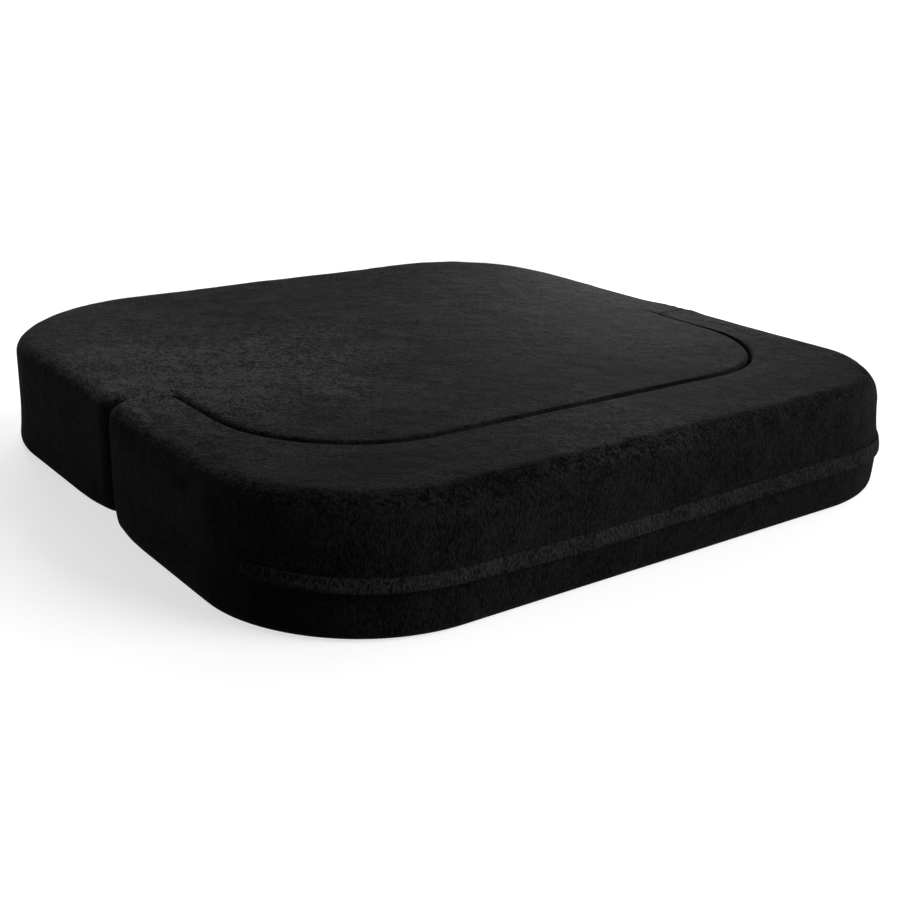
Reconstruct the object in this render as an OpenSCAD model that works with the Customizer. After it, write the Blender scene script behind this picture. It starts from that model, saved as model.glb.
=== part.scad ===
// Foam sofa bed lying open as a bed: a rear slab with a tongue, and a U-shaped ring round the tongue.
// The ring folds up and over onto the slab, where it is the arms and the back of a sofa.
// X runs across, +Y to the rear slab, +Z up. The origin is on the floor, under the middle.

/* [Blocks] */
// Width of the rear slab
slab_w = 1800; // [1500:10:2100]
// How far each arm's side stands proud of the slab's side
ring_proud = 20; // [0:1:40]
// Length of the open bed from cover to cover
bed_l = 1837; // [1600:1:2100]
// Height of the cushions at the flat part of their tops
cushion_h = 286; // [230:2:340]
// Rise of the seat's middle above the flat part
crown_h = 4; // [0:0.5:10]
// Width of each arm of the ring
arm_w = 162; // [150:1:220]
// Depth of the ring's base
base_w = 293; // [200:1:360]
// Distance of the fold line behind the origin, less than nothing towards the ring
fold_y = -60; // [-120:5:60]
// Gap between the tongue and the ring
seam_gap = 6; // [2:0.5:12]
// Gap between the slab and the arms' ends
fold_gap = 2; // [1:0.5:6]

/* [Corners seen from above] */
// Radius of the slab's rear corners
rear_r = 470; // [300:5:560]
// Radius of the ring's front corners
front_r = 365; // [240:5:460]
// Radius of the ring's inner corners
inner_r = 335; // [200:5:400]
// Radius of the corners on both sides of the notch
notch_r = 42; // [38:1:60]
// Radius of the arms' ends beside the tongue
arm_end_r = 30; // [28:1:44]
// Radius of the slab's hollow corners beside the tongue
nook_r = 10; // [6:1:16]

/* [Rounded edges] */
// Width of the rounding along the open top edges
side_round_w = 68; // [40:1:80]
// Height of the rounding along the open top edges
side_round_h = 63; // [30:1:68]
// Size of the rounding beside the tongue's seam
seam_round = 12; // [8:0.5:18]
// Width of the rounding along the fold
fold_round_w = 26; // [16:0.5:27]
// Height of the rounding along the fold
fold_round_h = 12; // [8:0.5:18]
// Size of the rounding at the corners of the notch
notch_round = 36; // [20:1:37]
// Length over which the open edge turns sharper towards the notch
fade_l = 160; // [60:5:240]
// Size of the rounding along the floor
foot_round = 25; // [14:0.5:27]

/* [Covers and foam] */
// Thickness of the plush covers with their wadding
wall = 4; // [2:0.5:6]
// Thickness of the inner liners
liner_t = 1; // [0.6:0.1:2]
// Thickness of the dotted floor cloths with their wadding
panel_t = 4; // [2.5:0.1:4.5]
// Height of the covers' hems above the floor
hem_h = 0.2; // [0.1:0.1:0.5]
// Thickness of the soft foam on top
comfort_t = 72; // [70:1:110]
// Height of the bottom foam's top face above the floor
bottom_foam_h = 76; // [40:1:110]
// Clearance between pieces that lie on each other
slip = 0.3; // [0.2:0.05:0.5]

/* [Zips] */
// Height of the ring's zip above the floor
ring_zip_z = 119; // [100:1:140]
// Height of the seat's zip above the floor
seat_zip_z = 62; // [50:1:100]
// Half the height of the slot that a zip lies in
slot_half = 8; // [6:0.5:10]
// Thickness of the zip tape
tape_t = 0.8; // [0.5:0.1:1.2]
// Width of one row of coil
coil_w = 2.4; // [1.5:0.1:3]
// Thickness of a row of coil
coil_t = 2.3; // [1.5:0.1:2.6]
// Gap between the two rows
row_gap = 1.2; // [1:0.1:1.6]
// Distance of the coil's outer face in front of the cover
coil_out = 1.5; // [1:0.1:2]
// Length of a slider
slider_l = 12; // [8:0.5:16]
// Width of a slider
slider_w = 9.2; // [8.8:0.1:11]
// Thickness of a slider's plates
plate_t = 1; // [0.6:0.1:1.2]
// Length of the pull from its pin to its tip
pull_l = 34; // [20:1:50]
// Width of the pull
pull_w = 9; // [8.5:0.5:12]

/* [Placket] */
// Height of the placket's sewn top edge above the floor
placket_top = 139; // [136:0.5:150]
// Height of the placket's free lower edge above the floor
placket_foot = 104; // [96:0.5:107]
// Thickness of the placket
placket_t = 2.5; // [1.5:0.1:3.5]
// Distance of the placket's inner face in front of the cover at the zip
placket_out = 5.2; // [5:0.1:7]
// Height of the placket's sewn band
placket_band = 7; // [4:0.5:8]

/* [Hidden] */

// How many flat steps each rounded corner and edge takes
rear_steps = 8;
front_steps = 10;
tongue_steps = 8;
notch_steps = 4;
nook_steps = 2;
arm_end_steps = 3;
edge_steps = 4;
foot_steps = 3;
bead_sides = 8;
round_fn = 32;

// How many steps of the corner each zip takes, counted from the straight stretch between the corners
seat_zip_steps = 4;
ring_zip_steps = 7;
placket_steps = ring_zip_steps + 1;

// How far the layers lie under the cover's outer face
liner_in = wall + slip;
foam_in = liner_in + liner_t + slip;

// What the zips and the placket stand proud of the covers, so that the origin is under the middle
bail_gap = 1.7;
bail_t = 0.8;
plate_lift = 0.2;
plate_out = coil_out + plate_lift;
bail_out = plate_out + plate_t + bail_gap + bail_t;
placket_face = placket_out + placket_t;
middle_y = (placket_face - bail_out) / 2;
front_y = middle_y - bed_l / 2;
rear_y = middle_y + bed_l / 2;

// Width of the ring over its two arms, and places along the blocks
ring_w = slab_w + 2 * ring_proud;
inner_x = ring_w / 2 - arm_w;
inner_y = front_y + base_w;
arm_end_y = fold_y - fold_gap / 2;
slab_end_y = fold_y + fold_gap / 2;
tongue_x = inner_x - seam_gap;
tongue_y = inner_y + seam_gap;
tongue_r = inner_r - seam_gap;
comfort_z = cushion_h - comfort_t;

// Roundings as width and height pairs
open_edge = [side_round_w, side_round_h];
seam_edge = [seam_round, seam_round];
fold_edge = [fold_round_w, fold_round_h];
notch_edge = [notch_round, notch_round];

// The seat's crown rises inside this share of its outline, about a point behind the fold
crown_share = 0.5;
crown_ring_shares = [0.5, 0.3, 0.12];
crown_y = (slab_end_y + rear_y) / 4;

// Sizes of the small metal pieces
post_w = 0.9;
post_l = 4;
flange_t = 0.8;
flange_gap = 0.2;
bite = 0.1;
bail_w = 2;
pin_r = 0.6;
eye_arm_w = 1.2;
eye_l = 8;
tab_t = 1;
tab_hole_r = 1.8;
tab_hole_in = 4;
stop_l = 5;
stop_t = 0.8;
stop_leg = 0.6;
stop_inset = 5.5;
slider_park = 24;

// The fold strips
strip_sink = 0.2;

// Points of an arc about c, with the edge's rounding turning from e0 to e1 along it
function arc(c, r, a0, a1, steps, e0, e1) = [
    for (i = [0:steps])
        let (
            share = i / steps,
            a = a0 + (a1 - a0) * share,
            e = e0 + (e1 - e0) * share
        )
        [c.x + r * cos(a), c.y + r * sin(a), e.x, e.y]
];

// One half of an outline, then its mirror image, counterclockwise and without repeated points
function whole(half) = concat(
    half,
    [for (i = [len(half) - 2:-1:1]) [-half[i].x, half[i].y, half[i][2], half[i][3]]]
);

// Direction square to the step from a to b, away from the block
function outward(a, b) = let (d = [b.x - a.x, b.y - a.y]) [d.y, -d.x] / norm(d);

// Each outline point with the step by which its two sides move out by one unit
function fitted(outline) = [
    for (i = [0:len(outline) - 1])
        let (
            last = outline[(i + len(outline) - 1) % len(outline)],
            here = outline[i],
            next = outline[(i + 1) % len(outline)],
            n1 = outward(last, here),
            n2 = outward(here, next),
            m = (n1 + n2) / (1 + n1 * n2)
        )
        [here.x, here.y, m.x, m.y, here[2], here[3]]
];

// Right half of the seat, from the middle of the tongue's front to the middle of the rear
seat_half = concat(
    [[0, tongue_y, seam_round, seam_round]],
    arc([tongue_x - tongue_r, tongue_y + tongue_r], tongue_r, -90, 0, tongue_steps, seam_edge, seam_edge),
    arc([tongue_x + nook_r, slab_end_y - nook_r], nook_r, 180, 90, nook_steps, seam_edge, fold_edge),
    arc([slab_w / 2 - notch_r, slab_end_y + notch_r], notch_r, -90, 0, notch_steps, fold_edge, notch_edge),
    [[slab_w / 2, slab_end_y + notch_r + fade_l, side_round_w, side_round_h]],
    arc([slab_w / 2 - rear_r, rear_y - rear_r], rear_r, 0, 90, rear_steps, open_edge, open_edge),
    [[0, rear_y, side_round_w, side_round_h]]
);

// Right half of the ring, from the middle of its inner front to the middle of its outer front
ring_right = concat(
    [[0, inner_y, seam_round, seam_round]],
    arc([inner_x - inner_r, inner_y + inner_r], inner_r, -90, 0, tongue_steps, seam_edge, seam_edge),
    arc([inner_x + arm_end_r, arm_end_y - arm_end_r], arm_end_r, 180, 90, arm_end_steps, seam_edge, fold_edge),
    arc([ring_w / 2 - notch_r, arm_end_y - notch_r], notch_r, 90, 0, notch_steps, fold_edge, notch_edge),
    [[ring_w / 2, arm_end_y - notch_r - fade_l, side_round_w, side_round_h]],
    arc([ring_w / 2 - front_r, front_y + front_r], front_r, 0, -90, front_steps, open_edge, open_edge),
    [[0, front_y, side_round_w, side_round_h]]
);
ring_half = [for (p = ring_right) [-p.x, p.y, p[2], p[3]]];

seat_line = fitted(whole(seat_half));
ring_line = fitted(whole(ring_half));

// First and last outline points of the zips and the placket
seat_middle = len(seat_half) - 1;
ring_middle = len(ring_half) - 1;
seat_zip_span = [seat_middle - 1 - seat_zip_steps, seat_middle + 1 + seat_zip_steps];
ring_zip_span = [ring_middle - 1 - ring_zip_steps, ring_middle + 1 + ring_zip_steps];
placket_span = [ring_middle - 1 - placket_steps, ring_middle + 1 + placket_steps];

// A point of the outline moved into the block by a depth
function moved(p, depth) = [p.x - p[2] * depth, p.y - p[3] * depth];

// A level ring under the outer face
function level_ring(line, depth, z) = [for (p = line) [each moved(p, depth), z]];

// A ring on the rounded top edge, at angle a from 0 on the side to 90 on the top
function top_ring(line, depth, a) = [
    for (p = line)
        let (
            s = depth + (p[4] - depth) * (1 - cos(a)),
            z = cushion_h - depth - (p[5] - depth) * (1 - sin(a))
        )
        [each moved(p, s), z]
];

// A ring of the crown: the flat top's edge drawn in to a share of its size
function crown_ring(line, depth, share) =
    let (rise = crown_h * (1 + cos(180 * share / crown_share)) / 2)
    [
        for (p = line)
            let (q = moved(p, p[4]))
            [q.x * share, crown_y + (q.y - crown_y) * share, cushion_h - depth + rise]
    ];

// A ring on the rounded foot, at angle a from 0 on the side to 90 underneath
function foot_ring(line, depth, lift, a) =
    let (
        s = depth + (foot_round - depth) * (1 - cos(a)),
        z = hem_h + lift + (foot_round - lift) * (1 - sin(a))
    )
    level_ring(line, s, z);

// A cover's edge along its zip line: it stands back along the zip, and nearly meets the other elsewhere
function zip_edge(line, depth, z, span, way) = [
    for (i = [0:len(line) - 1])
        let (back = (i >= span[0] && i <= span[1]) ? slot_half : slip / 2)
        [each moved(line[i], depth), z + way * back]
];

// All rings from the side's top to the middle of the top
function top_rings(line, depth, tongued) = concat(
    [for (k = [0:edge_steps]) top_ring(line, depth, 90 * k / edge_steps)],
    tongued ? [for (share = crown_ring_shares) crown_ring(line, depth, share)] : []
);
function foot_rings(line, depth, lift) = [
    for (k = [0:foot_steps]) foot_ring(line, depth, lift, 90 - 90 * k / foot_steps)
];
function backwards(list) = [for (i = [len(list) - 1:-1:0]) list[i]];

// Two triangles for each step between ring k and the next ring
function band(k, next_k, n) = [
    for (i = [0:n - 1])
        let (j = (i + 1) % n)
        each [
            [k * n + i, next_k * n + i, next_k * n + j],
            [k * n + i, next_k * n + j, k * n + j]
        ]
];

// Triangles that fill the seat's outline, as a fan about a hub in the middle of the slab
function fan(n, base, hub) = [for (i = [0:n - 1]) [hub, base + i, base + (i + 1) % n]];

// Triangles that fill half of the ring's outline: point i climbs its inner side while point j climbs its
// outer side, each by its share of the way to the tip of the arm, where they meet
function half_fill(i, j, tip, last) =
    i + 1 >= j
        ? []
        : (i + 1) / tip <= (last - j + 1) / (last - tip)
            ? concat([[i, i + 1, j]], half_fill(i + 1, j, tip, last))
            : concat([[i, j - 1, j]], half_fill(i, j - 1, tip, last));

// Both halves of the ring's outline, the second being the mirror image of the first
function ring_fill(n, base) =
    let (half = half_fill(0, n / 2, tongue_steps + arm_end_steps + 2, n / 2))
    concat(
        [for (t = half) [base + t.x, base + t.y, base + t.z]],
        [for (t = half) [base + (n - t.x) % n, base + (n - t.z) % n, base + (n - t.y) % n]]
    );

function flipped(faces) = [for (f = faces) [f.z, f.y, f.x]];

// A solid skinned over rings, and closed by a flat face at each end
module stack(rings, tongued) {
    n = len(rings[0]);
    m = len(rings);
    hubs = [[0, crown_y, rings[0][0].z], [0, crown_y, rings[m - 1][0].z]];
    first_face = tongued ? fan(n, 0, m * n) : ring_fill(n, 0);
    last_face = tongued ? fan(n, (m - 1) * n, m * n + 1) : ring_fill(n, (m - 1) * n);
    polyhedron(
        points = concat([for (ring = rings) each ring], tongued ? hubs : []),
        faces = concat(
            first_face,
            [for (k = [0:m - 2]) each band(k, k + 1, n)],
            flipped(last_face)
        )
    );
}

// A solid skinned over rings, of which the last meets the first
module loop(rings) {
    n = len(rings[0]);
    m = len(rings);
    polyhedron(
        points = [for (ring = rings) each ring],
        faces = [for (k = [0:m - 1]) each band(k, (k + 1) % m, n)]
    );
}

// Triangles that fill a profile of p points, between its points 1, 2, 3 and its points 0, p - 1, p - 2
function profile_fill(p, base) = [
    for (k = [0:p / 2 - 2])
        let (a = (p - k) % p, b = k + 1, c = k + 2, d = p - k - 1)
        each [[base + a, base + b, base + c], [base + a, base + c, base + d]]
];

// A profile of [depth, z] points carried along a stretch of the outline
module run(line, span, profile) {
    p = len(profile);
    m = span[1] - span[0] + 1;
    polyhedron(
        points = [for (i = [span[0]:span[1]]) for (q = profile) [each moved(line[i], q[0]), q[1]]],
        faces = concat(
            profile_fill(p, 0),
            [
                for (s = [0:m - 2])
                    for (j = [0:p - 1])
                        let (k = (j + 1) % p)
                        each [
                            [s * p + j, (s + 1) * p + j, (s + 1) * p + k],
                            [s * p + j, (s + 1) * p + k, s * p + k]
                        ]
            ],
            flipped(profile_fill(p, (m - 1) * p))
        )
    );
}

// A level slab of foam or cloth inside the outline
module slice(line, depth, z0, z1) {
    translate([0, 0, z0])
        linear_extrude(z1 - z0)
            polygon([for (p = line) moved(p, depth)]);
}

// The cover over the top and the sides, open underneath
module top_cover(line, zip_z, span, tongued) {
    rings = concat(
        backwards(top_rings(line, wall, tongued)),
        [zip_edge(line, wall, zip_z, span, 1)],
        [zip_edge(line, 0, zip_z, span, 1)],
        top_rings(line, 0, tongued)
    );
    stack(rings, tongued);
}

// The cover's skirt between the zip line and the floor
module lower_cover(line, zip_z, span) {
    loop(concat(
        foot_rings(line, 0, 0),
        [zip_edge(line, 0, zip_z, span, -1)],
        [zip_edge(line, wall, zip_z, span, -1)],
        backwards(foot_rings(line, wall, wall))
    ));
}

// The thin bag between foam and cover, open above the rounded foot
module liner(line, tongued) {
    foot_z = hem_h + foot_round + slip;
    rings = concat(
        backwards(top_rings(line, liner_in + liner_t, tongued)),
        [level_ring(line, liner_in + liner_t, foot_z), level_ring(line, liner_in, foot_z)],
        top_rings(line, liner_in, tongued)
    );
    stack(rings, tongued);
}

module comfort_foam(line, tongued) {
    stack(concat([level_ring(line, foam_in, comfort_z)], top_rings(line, foam_in, tongued)), tongued);
}

module bottom_foam(line, tongued) {
    rings = concat(
        foot_rings(line, foam_in, liner_in),
        [level_ring(line, foam_in, bottom_foam_h)]
    );
    stack(rings, tongued);
}

function rectangle(d0, d1, z0, z1) = [[d0, z0], [d1, z0], [d1, z1], [d0, z1]];
function bead(d, z, rd, rz) = [
    for (i = [0:bead_sides - 1])
        let (a = 360 * (i + 1 / 2) / bead_sides)
        [d + rd * cos(a), z + rz * sin(a)]
];

// One half of a zip's tape: way is 1 above the zip line and -1 below it
module tape(line, span, zip_z, way) {
    depth = coil_t - coil_out + slip / 2;
    inner_z = zip_z + way * (row_gap / 2 + coil_w / 4);
    outer_z = zip_z + way * (slot_half - slip);
    run(line, span, rectangle(depth, depth + tape_t, min(inner_z, outer_z), max(inner_z, outer_z)));
}

// One row of coil on its tape
module coil(line, span, zip_z, way) {
    run(
        line, span,
        bead(coil_t / 2 - coil_out, zip_z + way * (row_gap + coil_w) / 2, coil_t / 2, coil_w / 2)
    );
}

// What follows is placed with X along the zip, Y away from the cover and Z up, about the zip line
module at_segment(line, i, share, zip_z) {
    a = line[i];
    b = line[i + 1];
    n = outward(a, b);
    translate([a.x + (b.x - a.x) * share, a.y + (b.y - a.y) * share, zip_z])
        rotate([0, 0, atan2(n.y, n.x) - 90])
            children();
}

// A staple over both rows at one end of the chain
module stop_staple() {
    half_z = row_gap / 2 + coil_w + slip;
    translate([-stop_l / 2, plate_out, -half_z - stop_leg])
        cube([stop_l, stop_t, 2 * (half_z + stop_leg)]);
    for (way = [-1, 1])
        translate([-stop_l / 2, coil_out - coil_t, way * (half_z + stop_leg / 2) - stop_leg / 2])
            cube([stop_l, plate_out - coil_out + coil_t + bite, stop_leg]);
}

module zip_stops(line, span, zip_z) {
    first_l = norm([line[span[0] + 1].x - line[span[0]].x, line[span[0] + 1].y - line[span[0]].y]);
    share = stop_inset / first_l;
    at_segment(line, span[0], share, zip_z) stop_staple();
    at_segment(line, span[1] - 1, 1 - share, zip_z) stop_staple();
}

// The plates of a slider, joined by the wedge between the rows
module slider_plates() {
    back_in = coil_t - coil_out + slip / 2 + tape_t + flange_gap;
    translate([-slider_l / 2, plate_out, -slider_w / 2])
        cube([slider_l, plate_t, slider_w]);
    translate([-slider_l / 2, -back_in - plate_t, -slider_w / 2])
        cube([slider_l, plate_t, slider_w]);
    translate([-slider_l / 2, -back_in - bite, -post_w / 2])
        cube([post_l, back_in + plate_out + 2 * bite, post_w]);
    for (way = [-1, 1])
        translate([-slider_l / 2, flange_gap, way * (slider_w - flange_t) / 2 - flange_t / 2])
            cube([slider_l, plate_out - flange_gap + bite, flange_t]);
}

// The bridge on a slider's front plate, which carries the pull's pin
module bail() {
    foot_y = plate_out + plate_t - bite;
    post_y = bail_gap + bite + bail_t;
    reach = 2 * pin_r + 2 * slip + bail_t;
    for (way = [-1, 1])
        translate([way * reach - bail_t / 2, foot_y, -bail_w / 2])
            cube([bail_t, post_y, bail_w]);
    translate([-reach - bail_t / 2, foot_y + post_y - bail_t, -bail_w / 2])
        cube([2 * reach + bail_t, bail_t, bail_w]);
}

// Height of the pull's pin in front of the cover
pin_out = plate_out + plate_t + bail_gap / 2;

module seat_top_cover() {
    color("#161617") top_cover(seat_line, seat_zip_z, seat_zip_span, true);
}

module seat_lower_cover() {
    color("#121213") lower_cover(seat_line, seat_zip_z, seat_zip_span);
}

module seat_floor_cloth() {
    color("#222224") slice(seat_line, foot_round + slip, 0, panel_t);
}

module seat_liner() {
    color("#e6e6e2") liner(seat_line, true);
}

module seat_comfort_foam() {
    color("#efe3b4") comfort_foam(seat_line, true);
}

module seat_support_foam() {
    color("#d9dde0") slice(seat_line, foam_in, bottom_foam_h, comfort_z);
}

module seat_bottom_foam() {
    color("#c9ccd2") bottom_foam(seat_line, true);
}

module seat_zip_upper_tape() {
    color("#1c1c1e") tape(seat_line, seat_zip_span, seat_zip_z, 1);
}

module seat_zip_lower_tape() {
    color("#1c1c1e") tape(seat_line, seat_zip_span, seat_zip_z, -1);
}

module seat_zip_upper_coil() {
    color("#0e0e10") coil(seat_line, seat_zip_span, seat_zip_z, 1);
}

module seat_zip_lower_coil() {
    color("#0e0e10") coil(seat_line, seat_zip_span, seat_zip_z, -1);
}

module seat_zip_stops() {
    color("#8d8f93") zip_stops(seat_line, seat_zip_span, seat_zip_z);
}

// The seat's slider is parked at the left end of the straight stretch
seat_slider_x = slab_w / 2 - rear_r - slider_park;

module seat_zip_slider() {
    color("#55575b")
        translate([seat_slider_x, rear_y, seat_zip_z]) {
            slider_plates();
            bail();
        }
}

// The pull turns on a pin that passes under the slider's bail
module seat_zip_pull() {
    eye_half = pull_w / 2 - eye_arm_w;
    color("#6a6c70")
        translate([seat_slider_x, rear_y + pin_out, seat_zip_z]) {
            translate([0, 0, -eye_half - bite])
                cylinder(r = pin_r, h = 2 * (eye_half + bite), $fn = round_fn);
            for (way = [-1, 1])
                translate([0, 0, way * (eye_half + eye_arm_w / 2) - eye_arm_w / 2]) {
                    cylinder(r = tab_t / 2, h = eye_arm_w, $fn = round_fn);
                    translate([-eye_l - bite, -tab_t / 2, 0])
                        cube([eye_l + bite, tab_t, eye_arm_w]);
                }
            difference() {
                union() {
                    translate([pull_w / 2 - pull_l, -tab_t / 2, -pull_w / 2])
                        cube([pull_l - eye_l - pull_w / 2, tab_t, pull_w]);
                    translate([pull_w / 2 - pull_l, tab_t / 2, 0])
                        rotate([90, 0, 0])
                            cylinder(r = pull_w / 2, h = tab_t, $fn = round_fn);
                }
                translate([tab_hole_in - pull_l, tab_t, 0])
                    rotate([90, 0, 0])
                        cylinder(r = tab_hole_r, h = 2 * tab_t, $fn = round_fn);
            }
        }
}

// The cloth web that joins the slab to an arm's end, lying in the valley between their rounded edges
module fold_strip(side) {
    x0 = inner_x + arm_end_r;
    x1 = slab_w / 2 - notch_r;
    edge_angles = [90 - 90 / edge_steps, 90 - 2 * 90 / edge_steps];
    under = [
        for (a = edge_angles)
            [
                fold_gap / 2 + fold_round_w * (1 - cos(a)),
                cushion_h - fold_round_h * (1 - sin(a)) + slip
            ]
    ];
    top_z = cushion_h - strip_sink;
    section = [
        [under[0].x, top_z],
        [-under[0].x, top_z],
        [-under[0].x, under[0].y],
        [-under[1].x, under[1].y],
        [under[1].x, under[1].y],
        [under[0].x, under[0].y]
    ];
    color("#141415")
        translate([side > 0 ? x0 : -x1, fold_y, 0])
            rotate([90, 0, 90])
                linear_extrude(x1 - x0)
                    polygon(section);
}

module left_fold_strip() {
    fold_strip(-1);
}

module right_fold_strip() {
    fold_strip(1);
}

module ring_top_cover() {
    color("#161617") top_cover(ring_line, ring_zip_z, ring_zip_span, false);
}

module ring_lower_cover() {
    color("#121213") lower_cover(ring_line, ring_zip_z, ring_zip_span);
}

module ring_floor_cloth() {
    color("#222224") slice(ring_line, foot_round + slip, 0, panel_t);
}

module ring_liner() {
    color("#e6e6e2") liner(ring_line, false);
}

module ring_comfort_foam() {
    color("#efe3b4") comfort_foam(ring_line, false);
}

module ring_support_foam() {
    color("#d9dde0") slice(ring_line, foam_in, bottom_foam_h, comfort_z);
}

module ring_bottom_foam() {
    color("#c9ccd2") bottom_foam(ring_line, false);
}

module ring_zip_upper_tape() {
    color("#1c1c1e") tape(ring_line, ring_zip_span, ring_zip_z, 1);
}

module ring_zip_lower_tape() {
    color("#1c1c1e") tape(ring_line, ring_zip_span, ring_zip_z, -1);
}

module ring_zip_upper_coil() {
    color("#0e0e10") coil(ring_line, ring_zip_span, ring_zip_z, 1);
}

module ring_zip_lower_coil() {
    color("#0e0e10") coil(ring_line, ring_zip_span, ring_zip_z, -1);
}

module ring_zip_stops() {
    color("#8d8f93") zip_stops(ring_line, ring_zip_span, ring_zip_z);
}

// The ring's slider has no pull, because the placket lies over it
ring_slider_x = ring_w / 2 - front_r - slider_park;

module ring_zip_slider() {
    color("#55575b")
        translate([-ring_slider_x, front_y, ring_zip_z])
            rotate([0, 0, 180])
                slider_plates();
}

// The flap over the ring's zip, sewn along its top and free below
module ring_placket() {
    band_foot = placket_top - placket_band;
    flare_foot = band_foot - placket_out;
    profile = [
        [-slip, placket_top],
        [-slip - placket_t, placket_top],
        [-slip - placket_t, band_foot],
        [-placket_face, flare_foot],
        [-placket_face, placket_foot],
        [-placket_out, placket_foot],
        [-placket_out, flare_foot],
        [-slip, band_foot]
    ];
    color("#0f0f10") run(ring_line, placket_span, profile);
}

seat_top_cover();
seat_lower_cover();
seat_floor_cloth();
seat_liner();
seat_comfort_foam();
seat_support_foam();
seat_bottom_foam();
seat_zip_upper_tape();
seat_zip_lower_tape();
seat_zip_upper_coil();
seat_zip_lower_coil();
seat_zip_stops();
seat_zip_slider();
seat_zip_pull();
left_fold_strip();
right_fold_strip();
ring_top_cover();
ring_lower_cover();
ring_floor_cloth();
ring_liner();
ring_comfort_foam();
ring_support_foam();
ring_bottom_foam();
ring_zip_upper_tape();
ring_zip_lower_tape();
ring_zip_upper_coil();
ring_zip_lower_coil();
ring_zip_stops();
ring_zip_slider();
ring_placket();
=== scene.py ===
import bpy
import numpy as np
from mathutils import Matrix
from mathutils.geometry import delaunay_2d_cdt


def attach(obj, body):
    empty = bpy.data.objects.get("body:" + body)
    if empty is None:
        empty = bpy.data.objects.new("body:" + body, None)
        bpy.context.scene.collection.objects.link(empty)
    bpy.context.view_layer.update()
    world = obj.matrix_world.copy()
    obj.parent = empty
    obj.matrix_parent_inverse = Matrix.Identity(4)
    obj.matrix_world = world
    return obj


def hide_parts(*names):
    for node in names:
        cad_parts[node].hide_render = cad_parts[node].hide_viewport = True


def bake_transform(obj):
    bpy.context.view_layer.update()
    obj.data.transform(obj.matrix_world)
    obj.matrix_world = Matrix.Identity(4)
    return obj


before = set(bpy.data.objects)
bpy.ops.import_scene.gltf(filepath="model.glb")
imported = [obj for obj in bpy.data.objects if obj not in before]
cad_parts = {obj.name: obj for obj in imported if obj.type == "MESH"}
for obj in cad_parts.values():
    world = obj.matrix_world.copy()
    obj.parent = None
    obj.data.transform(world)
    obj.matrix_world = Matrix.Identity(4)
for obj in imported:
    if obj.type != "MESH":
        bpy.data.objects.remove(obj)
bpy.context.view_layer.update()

MM = 0.001
SLAB_W = 1800 * MM
RING_W = 1840 * MM
TOP_Z = 286 * MM
CROWN, CROWN_Y = 4 * MM, 215 * MM
FRONT_Y, FRONT_R = -917.25 * MM, 365 * MM
REAR_Y, REAR_R = 919.75 * MM, 470 * MM
FOLD_Y, HALF_FOLD, AXIS_Z = -60 * MM, 1 * MM, 286.3 * MM
INNER_X, INNER_Y, INNER_R = 758 * MM, -624.25 * MM, 335 * MM
TONGUE_X, TONGUE_Y, TONGUE_R = 752 * MM, -618.25 * MM, 329 * MM
NOTCH_R = 60 * MM
ARM_END_R = 30 * MM
NOOK_R = 10 * MM
FADE = 160 * MM
HEM_Z, FOOT_R = 0.2 * MM, 25 * MM
PANEL_Z, PANEL_T = 0.4 * MM, 4 * MM
BOTTOM_FOAM_Z, COMFORT_Z, FOAM_EDGE = 76 * MM, 214 * MM, 1.5 * MM

# Width and height of each kind of rounding, and the room to swell beside it
OPEN_ROOM = 5.0 * MM
OPEN = (68 * MM, 63 * MM, OPEN_ROOM)
SEAM = (12 * MM, 12 * MM, 1.0 * MM)
SIDE_SEAM = (22 * MM, 18 * MM, 1.0 * MM)
ARM_SEAM = (8 * MM, 8 * MM, 1.0 * MM)
FOLD = (26 * MM, 12 * MM, 0.3 * MM)
NOTCH = (42 * MM, 40 * MM, 0.6 * MM)
# The most width and height outside on the right, on the left and at the rear right corner
RIGHT_EDGE, LEFT_EDGE, REAR_RIGHT_EDGE = (50 * MM, 47 * MM), (42 * MM, 38 * MM), (38 * MM, 36 * MM)
# Places along the right arm's seam, and the share of its rounding that is left there
SEAM_TIGHT = ((-0.45, -0.25, -0.16, FOLD_Y), (1, 0.25, 0.12, 0.1))

# How far the outline departs from its plan, over what length, and the height at which that ends
NOTCH_TUCK, NOTCH_REACH, NOTCH_TOP = 14 * MM, 150 * MM, 95 * MM
LEAN, LEAN_REACH = 13 * MM, 260 * MM
LEFT_FOOT, LEFT_REACH, LEFT_TOP = 9 * MM, 220 * MM, 90 * MM
REAR_FULL, REAR_FULL_FROM, REAR_FULL_TO = 24 * MM, 100 * MM, 210 * MM
FRONT_FULL, FRONT_WAY = 11 * MM, (0.59, -0.81)

# The zips
SEAT_ZIP_Z, RING_ZIP_Z, SEWN_Z = 62 * MM, 119 * MM, 138 * MM
SEAT_ZIP_HALF = SLAB_W / 2 - REAR_R + REAR_R * np.radians(45)
RING_ZIP_HALF = RING_W / 2 - FRONT_R + FRONT_R * np.radians(63)
SLOT_HALF = 8 * MM
COIL_W, COIL_T, COIL_OUT = 2.4 * MM, 2.3 * MM, 1.5 * MM
TOOTH_PITCH, ROW_GAP = 2.4 * MM, 1.2 * MM
TAPE_T, TAPE_IN = 0.8 * MM, COIL_T - COIL_OUT + 0.15 * MM
PLATE_OUT = COIL_OUT + 0.2 * MM
PLATE_IN = TAPE_IN + TAPE_T + 0.2 * MM
PLATE_T = 1 * MM
PIN_OUT = PLATE_OUT + PLATE_T + 0.85 * MM
SLIDER_IN = 24 * MM

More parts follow.
